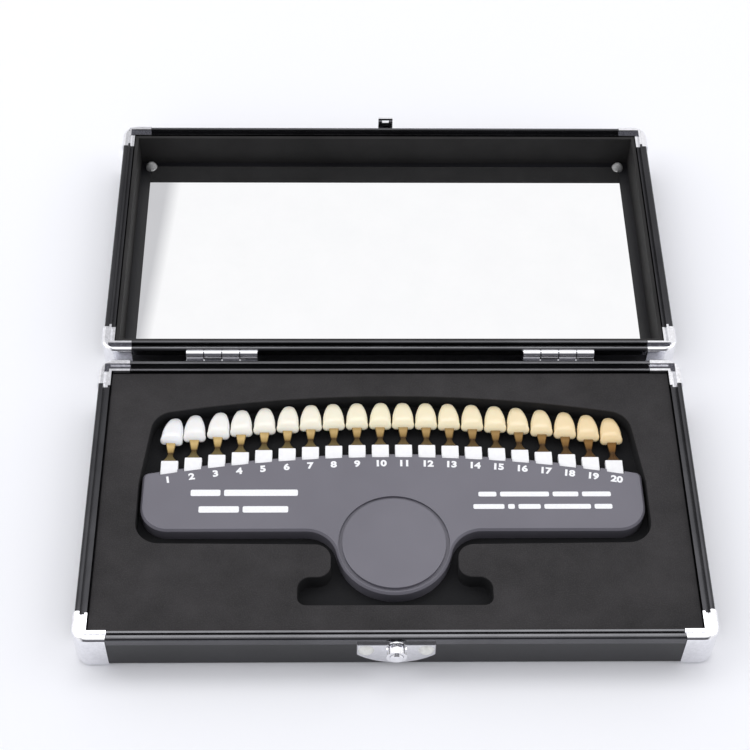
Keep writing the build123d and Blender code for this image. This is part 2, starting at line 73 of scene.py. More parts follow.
FOCAL_LENGTH = 83.26
SENSOR = 36.0
CLIP_START = 0.01
CLIP_END = 20
CAMERA_PLACE = (-19.82, -367.83, 575.42)
PITCH = math.radians(52.7034)
YAW = math.radians(-1.8101)
ROLL = math.radians(1.4103)


def make_camera():
    data = bpy.data.cameras.new("camera")
    data.lens = FOCAL_LENGTH
    data.sensor_width = SENSOR
    data.clip_start = CLIP_START
    data.clip_end = CLIP_END
    camera = bpy.data.objects.new("camera", data)
    bpy.context.collection.objects.link(camera)
    turn = Matrix.Rotation(YAW, 3, "Z")
    ahead = turn @ Vector((0, math.cos(PITCH), -math.sin(PITCH)))
    up = turn @ Vector((0, math.sin(PITCH), math.cos(PITCH)))
    right = turn @ Vector((1, 0, 0))
    rolled_right = math.cos(ROLL) * right + math.sin(ROLL) * up
    rolled_up = math.cos(ROLL) * up - math.sin(ROLL) * right
    axes = Matrix((rolled_right, rolled_up, -ahead)).transposed()
    camera.matrix_world = Matrix.Translation(place(*CAMERA_PLACE)) @ axes.to_4x4()
    bpy.context.scene.camera = camera


# Node helpers

class Tree:
    """A node tree and short ways to add nodes to it."""

    def __init__(self, tree):
        self.nodes = tree.nodes
        self.links = tree.links

    def connect(self, value, socket, colour=False):
        """Links an output to the socket, or sets the socket to a plain value."""
        if isinstance(value, bpy.types.NodeSocket):
            self.links.new(value, socket)
        elif colour:
            socket.default_value = (*value, 1)
        else:
            socket.default_value = value

    def calculate(self, operation, *values):
        node = self.nodes.new("ShaderNodeMath")
        node.operation = operation
        for value, socket in zip(values, node.inputs):
            self.connect(value, socket)
        return node.outputs["Value"]

    def rise(self, source, low, high):
        """0 where the source is low and 1 where it is high."""
        node = self.nodes.new("ShaderNodeMapRange")
        node.inputs["From Min"].default_value = low
        node.inputs["From Max"].default_value = high
        self.links.new(source, node.inputs["Value"])
        return node.outputs["Result"]

    def spread(self, source, low, high):
        """A source from 0 to 1, taken from low to high."""
        node = self.nodes.new("ShaderNodeMapRange")
        node.inputs["To Min"].default_value = low
        node.inputs["To Max"].default_value = high
        self.links.new(source, node.inputs["Value"])
        return node.outputs["Result"]

    def mix(self, share, first, second):
        """The first colour where the share is 0, the second where it is 1."""
        node = self.nodes.new("ShaderNodeMix")
        node.data_type = "RGBA"
        self.connect(share, node.inputs["Factor"])
        self.connect(first, node.inputs["A"], colour=True)
        self.connect(second, node.inputs["B"], colour=True)
        return node.outputs["Result"]


class Shader(Tree):
    """One node material."""

    def __init__(self, name):
        self.material = bpy.data.materials.new(name)
        self.material.use_nodes = True
        super().__init__(self.material.node_tree)
        self.bsdf = self.nodes["Principled BSDF"]
        self.coords = self.nodes.new("ShaderNodeTexCoord").outputs["Object"]

    def set(self, **values):
        for name, value in values.items():
            self.bsdf.inputs[name.replace("_", " ")].default_value = value

    def feed(self, name, output):
        self.links.new(output, self.bsdf.inputs[name])

    def noise(self, scale, detail=3.0, rough=0.6, stretch=None):
        node = self.nodes.new("ShaderNodeTexNoise")
        node.inputs["Scale"].default_value = scale
        node.inputs["Detail"].default_value = detail
        node.inputs["Roughness"].default_value = rough
        source = self.coords
        if stretch:
            mapping = self.nodes.new("ShaderNodeMapping")
            mapping.inputs["Scale"].default_value = stretch
            self.links.new(self.coords, mapping.inputs["Vector"])
            source = mapping.outputs["Vector"]
        self.links.new(source, node.inputs["Vector"])
        return node.outputs["Fac"]

    def ramp(self, source, *stops):
        """Colours along the source, each given with its position."""
        node = self.nodes.new("ShaderNodeValToRGB")
        elements = node.color_ramp.elements
        while len(elements) < len(stops):
            elements.new(0.5)
        for element, (position, colour) in zip(elements, stops):
            element.position = position
            element.color = (*colour, 1)
        self.links.new(source, node.inputs["Fac"])
        return node.outputs["Color"]

    def patches(self, source, low, high, most):
        """A share that rises from 0 at low to most at high."""
        return self.ramp(source, (low, (0, 0, 0)), (high, (most, most, most)))

    def tint(self, source, *stops):
        self.feed("Base Color", self.ramp(source, *stops))

    def roughen(self, source, low, high):
        self.feed("Roughness", self.spread(source, low, high))

    def bump(self, height, strength, distance):
        """Fine relief; the distance is in metres."""
        node = self.nodes.new("ShaderNodeBump")
        node.inputs["Strength"].default_value = strength
        node.inputs["Distance"].default_value = distance
        self.links.new(height, node.inputs["Height"])
        self.feed("Normal", node.outputs["Normal"])

    def attribute(self, name):
        node = self.nodes.new("ShaderNodeAttribute")
        node.attribute_name = name
        return node.outputs["Fac"]

    def across(self, axis, low, high, mirrored=False):
        """0 at low and 1 at high along an axis; mirrored counts both ways from the middle."""
        split = self.nodes.new("ShaderNodeSeparateXYZ")
        self.links.new(self.coords, split.inputs["Vector"])
        source = split.outputs[axis]
        if mirrored:
            source = self.calculate("ABSOLUTE", source)
        return self.rise(source, low * MM, high * MM)


# Materials of the case

RAIL_TURN = (107, 112)
RECESS_DEEP = (14.9, 15.6)
# Painted shade for the foam down in the recess
FOAM_RECESS_PAINTED_SHADE = (0.016, 0.016, 0.0172)
FOAM_SPECK_TONE = (0.10, 0.096, 0.097)
CHROME_TONE = (0.90, 0.90, 0.93)
# Painted shade: the pins are near black so the splits between the hinge knuckles read dark
PIN_PAINTED_SHADE_TONE = (0.10, 0.10, 0.11)
HAZE_SHADE = 0.86


def panel_material():
    """Satin black laminate with a faint mottle."""
    s = Shader("panel_laminate")
    grain = s.noise(scale=900, detail=4)
    broad = s.noise(scale=18, detail=2)
    s.tint(broad, (0.3, (0.008, 0.008, 0.0096)), (0.75, (0.016, 0.016, 0.0192)))
    s.roughen(grain, low=0.28, high=0.40)
    s.set(Specular_IOR_Level=0.5)
    s.bump(grain, strength=0.12, distance=0.00005)
    return s.material


def rail_material():
    """Black anodised extrusion with fine lines along it, with painted shade making the short
    sides darker than the long sides.
    """
    s = Shader("rail_anodised")
    lines = s.noise(scale=1400, detail=3, rough=0.7, stretch=(0.06, 0.06, 1))
    broad = s.noise(scale=30, detail=3)
    # Painted shade: the same black is given a lit copy on the long sides and a darker, shaded
    # copy on the short sides
    lit_long_side = s.ramp(broad, (0.3, (0.100, 0.100, 0.106)), (0.8, (0.145, 0.145, 0.154)))
    shaded_short_side = s.ramp(broad, (0.3, (0.034, 0.034, 0.037)), (0.8, (0.056, 0.056, 0.060)))
    s.feed("Base Color", s.mix(s.across("X", *RAIL_TURN, mirrored=True), lit_long_side, shaded_short_side))
    s.roughen(lines, low=0.18, high=0.30)
    s.set(Metallic=1.0)
    s.bump(lines, strength=0.10, distance=0.00004)
    return s.material


def plated_material(name, tone, low, high):
    """Bright plating, slightly uneven as thin plating is, with its roughness from low to high."""
    s = Shader(name)
    waves = s.noise(scale=130, detail=2)
    haze = s.noise(scale=700, detail=4)
    darker = tuple(HAZE_SHADE * part for part in tone)
    s.tint(haze, (0.25, darker), (0.7, tone))
    s.roughen(haze, low, high)
    s.set(Metallic=1.0)
    s.bump(waves, strength=0.10, distance=0.0002)
    return s.material


def rivet_material():
    """Rivet heads with a soft milky shine."""
    s = Shader("rivet_satin")
    haze = s.noise(scale=900, detail=3)
    s.tint(haze, (0.3, (0.74, 0.74, 0.70)), (0.7, (0.86, 0.86, 0.82)))
    s.roughen(haze, low=0.28, high=0.42)
    s.set(Metallic=0.15, Specular_IOR_Level=0.6)
    s.bump(haze, strength=0.05, distance=0.0001)
    return s.material


def foam_material():
    """Closed-cell foam: fine cells on the face, and painted shade making it near black down in
    the recess.
    """
    s = Shader("foam_cells")
    cells = s.nodes.new("ShaderNodeTexVoronoi")
    cells.inputs["Scale"].default_value = 1500
    s.links.new(s.coords, cells.inputs["Vector"])
    specks = s.noise(scale=2300, detail=3, rough=0.7)
    broad = s.noise(scale=45, detail=4, rough=0.65)
    face = s.ramp(broad, (0.28, (0.0245, 0.0232, 0.0238)), (0.72, (0.0435, 0.0408, 0.042)))
    speckled = s.mix(s.patches(specks, low=0.45, high=0.8, most=0.35), face, FOAM_SPECK_TONE)
    # Painted shade: below the face the foam is painted near black, as shade in the recess
    s.feed("Base Color", s.mix(s.across("Z", *RECESS_DEEP), FOAM_RECESS_PAINTED_SHADE, speckled))
    s.set(Roughness=0.93, Specular_IOR_Level=0.22)
    s.bump(cells.outputs["Distance"], strength=0.35, distance=0.00012)
    return s.material


def lining_material():
    """Black flocked card round the mirror."""
    s = Shader("lining_flock")
    pile = s.noise(scale=1900, detail=4, rough=0.7)
    broad = s.noise(scale=35, detail=3)
    s.tint(broad, (0.3, (0.016, 0.0155, 0.0155)), (0.75, (0.030, 0.029, 0.029)))
    s.roughen(pile, low=0.62, high=0.85)
    s.set(Specular_IOR_Level=0.3)
    s.bump(pile, strength=0.2, distance=0.00008)
    return s.material


def mirror_material():
    """Silvered glass with the faintest haze."""
    s = Shader("mirror_silver")
    haze = s.noise(scale=55, detail=4)
    s.tint(haze, (0.3, (0.955, 0.958, 0.962)), (0.8, (0.985, 0.986, 0.988)))
    s.roughen(haze, low=0.004, high=0.022)
    s.set(Metallic=1.0)
    return s.material


def adhesive_material():
    """Milky dabs of glue."""
    s = Shader("glue_dab")
    cloud = s.noise(scale=260, detail=3)
    s.tint(cloud, (0.3, (0.26, 0.26, 0.255)), (0.7, (0.46, 0.46, 0.45)))
    s.roughen(cloud, low=0.28, high=0.5)
    s.bump(cloud, strength=0.4, distance=0.0005)
    return s.material


# Materials of the guide

NECK_TURN = (-60, 90)
NECK_WEAR_TONE = (0.20, 0.13, 0.05)
# Painted light along the neck from foot to tooth: shade on the lower facet and waist, a highlight
# on the upper facet; the second ramp is the darker, shaded copy
NECK_PAINTED_LIGHT_LEFT = (
    (0.0, (0.170, 0.135, 0.060)), (0.36, (0.100, 0.070, 0.025)), (0.46, (0.035, 0.018, 0.006)),
    (0.58, (0.300, 0.205, 0.075)), (0.80, (0.470, 0.340, 0.150)), (1.0, (0.390, 0.275, 0.110)),
)
NECK_PAINTED_SHADE_RIGHT = (
    (0.0, (0.085, 0.042, 0.014)), (0.36, (0.055, 0.024, 0.008)), (0.46, (0.020, 0.008, 0.003)),
    (0.58, (0.110, 0.048, 0.012)), (0.80, (0.170, 0.080, 0.020)), (1.0, (0.120, 0.055, 0.014)),
)
TOOTH_SHADES = (
    (0.0, (0.870, 0.870, 0.880)), (0.10, (0.885, 0.875, 0.840)), (0.21, (0.900, 0.870, 0.770)),
    (0.47, (0.900, 0.825, 0.600)), (0.74, (0.895, 0.770, 0.510)), (1.0, (0.850, 0.660, 0.370)),
)
TOOTH_WARMTH = (0.99, 0.965, 0.90)
# Painted light at the tooth's edge: a lighter rim as a painted highlight and a deeper line inside
# it as painted shade
TOOTH_RIM_HIGHLIGHT_SCALE = (1.07, 1.08, 1.12)
TOOTH_LINE_SHADE_SCALE = 0.85
BODY_EDGE = 0.76
LINE_EDGE = 0.83
RIM_EDGE = 0.88


def holder_material():
    """Moulded plastic in satin slate with a fine spark-eroded grain."""
    s = Shader("holder_plastic")
    grain = s.noise(scale=1700, detail=3, rough=0.7)
    broad = s.noise(scale=22, detail=3)
    s.tint(broad, (0.25, (0.140, 0.134, 0.158)), (0.8, (0.172, 0.165, 0.192)))
    s.roughen(grain, low=0.42, high=0.56)
    s.set(Specular_IOR_Level=0.4)
    s.bump(grain, strength=0.16, distance=0.00005)
    return s.material


def print_material():
    """White pad print, a little uneven in its cover."""
    s = Shader("white_print")
    cover = s.noise(scale=1200, detail=3)
    s.tint(cover, (0.2, (0.86, 0.85, 0.86)), (0.6, (0.95, 0.95, 0.96)))
    s.roughen(cover, low=0.4, high=0.6)
    return s.material


def enamel_material():
    """White enamel on the tab feet."""
    s = Shader("foot_enamel")
    cloud = s.noise(scale=500, detail=3)
    s.tint(cloud, (0.25, (0.91, 0.90, 0.91)), (0.7, (0.97, 0.97, 0.97)))
    s.roughen(cloud, low=0.25, high=0.4)
    s.bump(cloud, strength=0.05, distance=0.0001)
    return s.material


def neck_material():
    """Worn gold plating, with painted shade at the waist and on the lower facet, a painted
    highlight on the upper facet, and painted shade deepening along the row to the right.
    """
    s = Shader("neck_gold")
    along = s.attribute("along")
    streaks = s.noise(scale=900, detail=4, rough=0.7, stretch=(1, 0.15, 1))
    light = s.ramp(along, *NECK_PAINTED_LIGHT_LEFT)
    dark = s.ramp(along, *NECK_PAINTED_SHADE_RIGHT)
    # Painted shade: necks further right in the row take more of the darker copy
    tone = s.mix(s.across("X", *NECK_TURN), light, dark)
    wear = s.patches(streaks, low=0.45, high=0.85, most=0.35)
    s.feed("Base Color", s.mix(wear, tone, NECK_WEAR_TONE))
    s.roughen(streaks, low=0.26, high=0.42)
    s.set(Metallic=0.85)
    s.bump(streaks, strength=0.08, distance=0.0001)
    return s.material


def tooth_shade(index):
    """Colour of a tooth, from bleached to tan along the row."""
    share = index / (TAB_COUNT - 1)
    for (low, first), (high, second) in zip(TOOTH_SHADES, TOOTH_SHADES[1:]):
        if share <= high:
            step = (share - low) / (high - low)
            return tuple(a + (b - a) * step for a, b in zip(first, second))
    return TOOTH_SHADES[-1][1]


def tooth_material(index):
    """Porcelain: a warmer body, a painted shade line inside the edge, a lighter rim painted as a
    highlight along the edge, and a glaze.
    """
    s = Shader(f"porcelain_{index + 1:02d}")
    body = tooth_shade(index)
    warm = tuple(part * scale for part, scale in zip(body, TOOTH_WARMTH))
    rim = tuple(min(1.0, part * scale) for part, scale in zip(body, TOOTH_RIM_HIGHLIGHT_SCALE))
    line = tuple(part * TOOTH_LINE_SHADE_SCALE for part in body)
    edge = s.attribute("edge")
    cloud = s.noise(scale=330, detail=3)
    # Painted light: the rim is a painted highlight along the rounded edge, the line inside it
    # painted shade
    tone = s.ramp(edge, (0.0, body), (BODY_EDGE, body), (LINE_EDGE, line), (RIM_EDGE, rim),
                  (1.0, rim))
    s.feed("Base Color", s.mix(s.patches(cloud, low=0.35, high=0.75, most=0.5), tone, warm))
    s.roughen(cloud, low=0.16, high=0.28)
    s.set(Subsurface_Weight=0.35, Subsurface_Scale=0.0012, Subsurface_Radius=(1.0, 0.8, 0.6),
          Coat_Weight=0.5, Coat_Roughness=0.08, IOR=1.5)
    s.bump(cloud, strength=0.05, distance=0.0002)
    return s.material


# Mesh helpers

def add_piece(name, mesh):
    """A piece of the base from a mesh."""
    piece = bpy.data.objects.new(name, mesh)
    bpy.context.collection.objects.link(piece)
    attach(piece, "base")
    return piece


def mesh_piece(name, points, faces, materials, slots=None):
    """A smooth piece of the base from points in metres."""
    mesh = bpy.data.meshes.new(name)
    mesh.from_pydata(points, [], faces)
    for material in materials:
        mesh.materials.append(material)
    if slots:
        for polygon, slot in zip(mesh.polygons, slots):
            polygon.material_index = slot
    mesh.shade_smooth()
    return add_piece(name, mesh)


def set_values(piece, name, values):
    """Gives each point of a piece a value that its material reads."""
    layer = piece.data.attributes.new(name, "FLOAT", "POINT")
    layer.data.foreach_set("value", values)


def arc_points(start, middle, end, count):
    """Points along the arc through three points, without its end."""
    ax, ay = start
    bx, by = middle
    cx, cy = end
    d = 2 * (ax * (by - cy) + bx * (cy - ay) + cx * (ay - by))
    a2, b2, c2 = ax * ax + ay * ay, bx * bx + by * by, cx * cx + cy * cy
    ox = (a2 * (by - cy) + b2 * (cy - ay) + c2 * (ay - by)) / d
    oy = (a2 * (cx - bx) + b2 * (ax - cx) + c2 * (bx - ax)) / d
    radius = math.hypot(ax - ox, ay - oy)
    first = math.atan2(ay - oy, ax - ox)
    through = (math.atan2(by - oy, bx - ox) - first) % (2 * math.pi)
    last = (math.atan2(cy - oy, cx - ox) - first) % (2 * math.pi)
    turn = last if through < last else last - 2 * math.pi
    angles = [first + turn * k / count for k in range(count)]
    return [(ox + radius * math.cos(angle), oy + radius * math.sin(angle)) for angle in angles]


# Teeth

TOOTH_Y = 15.0
TOOTH_LENGTH = 13.0
TOOTH_WIDTH = 8.6
TOOTH_THICKNESS = 3.4
TOOTH_BACK = 10.8
TOOTH_LEANS = {0: -6.5, 1: 0.5, 2: -4.0, 5: -2.0, 7: 2.0, 9: -2.5, 12: 1.5, 15: 2.5, 17: -1.5,
               19: 2.0}

# Outline: insets from the tooth's side, heights over its heel and steps along each arc
HEEL_INSET = 1.3
KNEE_INSET = 0.325
KNEE_HEIGHT = 0.455
WIDEST_HEIGHT = 0.2 * TOOTH_LENGTH
SIDE_INSET = 0.4
SIDE_HEIGHT = 0.55 * TOOTH_LENGTH
CROWN_HALF_WIDTH = 2.3
CROWN_HEIGHT = TOOTH_LENGTH - 1.3
KNEE_STEPS = 8
SIDE_STEPS = 10
CROWN_STEPS = 8
HEEL_STEPS = 6

# Front: the bulge, its fall to the heel and its rounding to the edge, as shares
FACE_RADIUS = 22.0
FACE_PEAK = 0.36 * TOOTH_LENGTH
HEEL_END = 0.30 * TOOTH_LENGTH
HEEL_FALL = 0.28
RING_MIDDLE = 0.44 * TOOTH_LENGTH
RINGS = (0.0, 0.22, 0.42, 0.58, 0.70, 0.79, 0.86, 0.91, 0.95, 0.98, 1.0)
EDGE_THICKNESS = 0.50
ROUNDING_POWER = 11

# Back: rings by their share of the thickness and their inset
BACK_RINGS = ((0.28, 0.05), (0.08, 0.2), (0.0, 0.55))


def tooth_outline():
    """Front view of a tooth, anticlockwise from the right end of its heel."""
    half = TOOTH_WIDTH / 2
    heel = (half - HEEL_INSET, 0.0)
    knee = (half - KNEE_INSET, KNEE_HEIGHT)
    widest = (half, WIDEST_HEIGHT)
    side = (half - SIDE_INSET, SIDE_HEIGHT)
    crown = (CROWN_HALF_WIDTH, CROWN_HEIGHT)
    left_heel, left_knee, left_widest, left_side, left_crown = (
        (-x, y) for x, y in (heel, knee, widest, side, crown))
    return (
        arc_points(heel, knee, widest, KNEE_STEPS)
        + arc_points(widest, side, crown, SIDE_STEPS)
        + arc_points(crown, (0, TOOTH_LENGTH), left_crown, CROWN_STEPS)
        + arc_points(left_crown, left_side, left_widest, SIDE_STEPS)
        + arc_points(left_widest, left_knee, left_heel, KNEE_STEPS)
        + [(-heel[0] + 2 * heel[0] * k / HEEL_STEPS, 0.0) for k in range(HEEL_STEPS)]
    )


def tooth_face_height(x, y):
    """Height of the bulging front over the tooth's back."""
    away = math.hypot(x, y - FACE_PEAK)
    fall = FACE_RADIUS - math.sqrt(FACE_RADIUS ** 2 - away ** 2)
    heel = max(0.0, 1 - y / HEEL_END)
    return (TOOTH_THICKNESS - fall) * (1 - HEEL_FALL * heel ** 2)


def tooth_points(outline):
    """Local points of a tooth, front rings first, with each point's nearness to the edge."""
    points, edges = [(0.0, RING_MIDDLE, tooth_face_height(0.0, RING_MIDDLE))], [0.0]
    for r in RINGS[1:]:
        rounding = (1 - r ** ROUNDING_POWER) ** 0.5
        for px, py in outline:
            x, y = r * px, RING_MIDDLE + r * (py - RING_MIDDLE)
            height = EDGE_THICKNESS + (1 - EDGE_THICKNESS) * rounding
            points.append((x, y, tooth_face_height(x, y) * height))
            edges.append(r if y > HEEL_END else min(r, BODY_EDGE))
    for share, inset in BACK_RINGS:
        for px, py in outline:
            length = math.hypot(px, py - RING_MIDDLE)
            scale = (length - inset) / length
            x, y = scale * px, RING_MIDDLE + scale * (py - RING_MIDDLE)
            points.append((x, y, share * TOOTH_THICKNESS))
            edges.append(1.0 if y > HEEL_END else BODY_EDGE)
    points.append((0.0, RING_MIDDLE, 0.0))
    edges.append(1.0)
    return points, edges


def ring_faces(count, rings):
    """Faces of a form of one top point, rings of count points and one bottom point."""
    faces = [(0, 1 + k, 1 + (k + 1) % count) for k in range(count)]
    for ring in range(rings - 1):
        first = 1 + ring * count
        for k in range(count):
            after = (k + 1) % count
            faces.append((first + k, first + count + k, first + count + after, first + after))
    last = 1 + (rings - 1) * count
    bottom = last + count
    faces += [(last + (k + 1) % count, last + k, bottom) for k in range(count)]
    return faces


def tooth_piece(index):
    """A glazed tooth on its stem, leaning as it sits."""
    outline = tooth_outline()
    points, edges = tooth_points(outline)
    x = tab_x(index)
    base_y = NOTCH_Y - drop(x) + TOOTH_Y
    lean = math.radians(TOOTH_LEANS.get(index, 0.0))
    c, s = math.cos(lean), math.sin(lean)
    placed = [place(x + c * px - s * py, base_y + s * px + c * py, TOOTH_BACK + pz)
              for px, py, pz in points]
    faces = ring_faces(len(outline), len(RINGS) - 1 + len(BACK_RINGS))
    name = f"tooth_{index + 1:02d}"
    piece = mesh_piece(f"{name}_porcelain", placed, faces, [tooth_material(index)])
    set_values(piece, "edge", edges)
    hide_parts(name)
    soften = piece.modifiers.new("smooth_form", "SUBSURF")
    soften.levels = 1
    soften.render_levels = 1


# Stems

FOOT_WIDTH = 6.7
FOOT_ABOVE = 7.3
FOOT_BELOW = 7.0
FOOT_BACK = 9.75
FOOT_FACE = 12.15
FOOT_CORNER = 0.15
FOOT_END = 0.18
FOOT_END_BACK = 0.1
FOOT_END_FACE = 0.12
NECK_FOOT_INSET = 0.6
NECK_WAIST_WIDTH = 2.2
NECK_WAIST_LOW = 10.4
NECK_WAIST_HIGH = 11.7
NECK_WAIST_SHARE = 0.45
NECK_END_WIDTH = 3.9
NECK_END_LOW = 11.25
NECK_END_HIGH = 12.75
NECK_IN_TOOTH = 0.3
NECK_CORNER = 0.25
NECK_STEPS = 14
STEM_SHARP_ANGLE = math.radians(35)
ENAMEL_SLOT, GOLD_SLOT = 0, 1


def cut_rectangle(half, low, high, corner):
    """Eight points of a section with cut corners, from the lower left, anticlockwise."""
    return [
        (-half + corner, low), (half - corner, low),
        (half, low + corner), (half, high - corner),
        (half - corner, high), (-half + corner, high),
        (-half, high - corner), (-half, low + corner),
    ]


def between(first, second, share):
    return first + (second - first) * share


def foot_sections():
    """Sections of the foot from below up: distance above the notch, half width, low, high."""
    half = FOOT_WIDTH / 2
    return [
        (-FOOT_BELOW, half, FOOT_BACK, FOOT_FACE, 0),
        (FOOT_ABOVE - FOOT_END, half, FOOT_BACK, FOOT_FACE, 0),
        (FOOT_ABOVE, half - FOOT_CORNER, FOOT_BACK + FOOT_END_BACK, FOOT_FACE - FOOT_END_FACE, 0),
    ]


def neck_sections():
    """Sections of the neck, as the foot's, each with its share of the way up."""
    foot_half = FOOT_WIDTH / 2 - NECK_FOOT_INSET
    waist_half = NECK_WAIST_WIDTH / 2
    rows = []
    for k in range(NECK_STEPS + 1):
        share = k / NECK_STEPS
        y = FOOT_ABOVE + share * (TOOTH_Y + NECK_IN_TOOTH - FOOT_ABOVE)
        if share < NECK_WAIST_SHARE:
            pull = share / NECK_WAIST_SHARE
            half = waist_half + (foot_half - waist_half) * (1 - pull) ** 2
            low = between(FOOT_BACK, NECK_WAIST_LOW, pull)
            high = between(FOOT_FACE, NECK_WAIST_HIGH, pull)
        else:
            pull = (share - NECK_WAIST_SHARE) / (1 - NECK_WAIST_SHARE)
            half = between(waist_half, NECK_END_WIDTH / 2, pull)
            low = between(NECK_WAIST_LOW, NECK_END_LOW, pull)
            high = between(NECK_WAIST_HIGH, NECK_END_HIGH, pull)
        rows.append((y, half, low, high, share))
    return rows


def stem_piece(index, enamel, gold):
    """Foot plate in white enamel and an hourglass neck in gold plating."""
    x = tab_x(index)
    notch = NOTCH_Y - drop(x)
    points, faces, slots, along = [], [], [], []

    def loft(rows, corner, slot):
        start = len(points)
        for y, half, low, high, share in rows:
            section = cut_rectangle(half, low, high, corner)
            points.extend(place(x + px, notch + y, pz) for px, pz in section)
            along.extend(share for _ in section)
        sides = len(section)
        for ring in range(len(rows) - 1):
            for k in range(sides):
                a = start + ring * sides + k
                b = start + ring * sides + (k + 1) % sides
                faces.append((a, b, b + sides, a + sides))
                slots.append(slot)
        last = start + (len(rows) - 1) * sides
        faces.append(tuple(start + k for k in reversed(range(sides))))
        faces.append(tuple(last + k for k in range(sides)))
        slots.extend((slot, slot))

    loft(foot_sections(), FOOT_CORNER, ENAMEL_SLOT)
    loft(neck_sections(), NECK_CORNER, GOLD_SLOT)
    name = f"stem_{index + 1:02d}"
    piece = mesh_piece(f"{name}_plated", points, faces, [enamel, gold], slots)
    set_values(piece, "along", along)
    piece.data.set_sharp_from_angle(angle=STEM_SHARP_ANGLE)
    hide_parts(name)


# Print on the holder

PRINT_LIFT = 0.04
LABEL_SIZE = 3.9
LABEL_BELOW_NOTCH = 3.1
LABEL_STRETCH = 1.18
LABEL_WEIGHT = 0.19
LABEL_DEPTH = 0.012
LABEL_CURVE_STEPS = 3
BAR_CORNER = 0.6
BAR_CORNER_STEPS = 3
BAR_CORNERS = ((1, 1, 0), (-1, 1, 90), (-1, -1, 180), (1, -1, 270))
BAR_GAP = 1.4

# Rows of bars: left end, middle along Y, height and the bars' lengths
BAR_ROWS = (
    (-78.2, 2.4, 2.9, (11.5, 28.5)),
    (-74.8, -5.2, 2.9, (15.5, 17.5)),
    (33.0, 1.6, 2.2, (7, 19, 10, 11.2)),
    (30.8, -4.1, 2.2, (12, 2.6, 8.6, 18, 6.9)),
)


def label_piece(index, ink):
    """Plain number printed below a tab's pocket, set along the arc."""
    name = f"number_{index + 1:02d}"
    curve = bpy.data.curves.new(name, "FONT")
    curve.body = str(index + 1)
    curve.size = LABEL_SIZE * MM
    curve.align_x = "CENTER"
    curve.align_y = "CENTER"
    curve.offset = LABEL_WEIGHT * MM
    curve.extrude = LABEL_DEPTH * MM
    curve.resolution_u = LABEL_CURVE_STEPS
    text = bpy.data.objects.new(f"{name}_text", curve)
    bpy.context.collection.objects.link(text)
    evaluated = text.evaluated_get(bpy.context.evaluated_depsgraph_get())
    mesh = bpy.data.meshes.new_from_object(evaluated)
    bpy.data.objects.remove(text)
    x = tab_x(index)
    spot = place(x, NOTCH_Y - drop(x) - LABEL_BELOW_NOTCH, GUIDE_FACE + PRINT_LIFT)
    slope = Matrix.Rotation(-math.asin(x / ARC_RADIUS), 4, "Z")
    stretch = Matrix.Scale(LABEL_STRETCH, 4, (1, 0, 0))
    mesh.transform(Matrix.Translation(spot) @ slope @ stretch)
    mesh.materials.clear()
    mesh.materials.append(ink)
    piece = add_piece(name, mesh)


def bar_outline(middle_x, middle_y, length, height):
    """A bar with rounded corners, anticlockwise."""
    outline = []
    for sx, sy, turn in BAR_CORNERS:
        ox = middle_x + sx * (length / 2 - BAR_CORNER)
        oy = middle_y + sy * (height / 2 - BAR_CORNER)
        for step in range(BAR_CORNER_STEPS + 1):
            angle = math.radians(turn + 90 / BAR_CORNER_STEPS * step)
            outline.append((ox + BAR_CORNER * math.cos(angle), oy + BAR_CORNER * math.sin(angle)))
    return outline


def bar_print(ink):
    """Two blocks of plain bars, one each side of the thumb disc."""
    form = bmesh.new()
    for left, middle_y, height, lengths in BAR_ROWS:
        for length in lengths:
            outline = bar_outline(left + length / 2, middle_y, length, height)
            corners = [place(px, py, GUIDE_FACE + PRINT_LIFT) for px, py in outline]
            form.faces.new([form.verts.new(corner) for corner in corners])
            left += length + BAR_GAP
    mesh = bpy.data.meshes.new("print_bars")
    form.to_mesh(mesh)
    form.free()
    mesh.materials.append(ink)
    piece = add_piece("print_bars", mesh)


# Foam bed

FOAM_EDGE = 0.45
FOAM_EDGE_STEPS = 3
FOAM_CUT_ANGLE = math.radians(50)
FOAM_SHARP_ANGLE = math.radians(30)
MERGE_DISTANCE = 1e-6
FLAT_ANGLE = math.radians(0.5)


def foam_piece(cells):
    """The foam bed with soft cut edges, on the form of its own solid."""
    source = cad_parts["foam_insert"]
    form = bmesh.new()
    form.from_mesh(source.data)
    bmesh.ops.remove_doubles(form, verts=form.verts, dist=MERGE_DISTANCE)
    bmesh.ops.dissolve_limit(form, angle_limit=FLAT_ANGLE, verts=form.verts, edges=form.edges)
    mesh = bpy.data.meshes.new("foam_bed")
    form.to_mesh(mesh)
    form.free()
    mesh.materials.clear()
    mesh.materials.append(cells)
    piece = bpy.data.objects.new("foam_bed", mesh)
    piece.matrix_world = source.matrix_world
    bpy.context.collection.objects.link(piece)
    soft = piece.modifiers.new("soft_edges", "BEVEL")
    soft.width = FOAM_EDGE * MM
    soft.segments = FOAM_EDGE_STEPS
    soft.limit_method = "ANGLE"
    soft.angle_limit = FOAM_CUT_ANGLE
    mesh.shade_smooth()
    mesh.set_sharp_from_angle(angle=FOAM_SHARP_ANGLE)
    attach(piece, "base")
    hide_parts("foam_insert")


# Studio, in metres

FLOOR_HALF = 6.0
FLOOR_DROP = 0.0002

# Softboxes: name, place, size and power in watts
SOFTBOXES = (
    ("softbox_back", (-0.1, 0.85, 2.1), (2.0, 0.8), 9.8),
    ("softbox_left", (-1.4, 0.2, 1.3), (1.2, 1.2), 6.5),
    ("softbox_right", (1.4, 0.2, 1.3), (1.2, 1.2), 5.1),
)
SKY_TONE = (0.94, 0.95, 1.0)
SKY_STRENGTH = 0.75

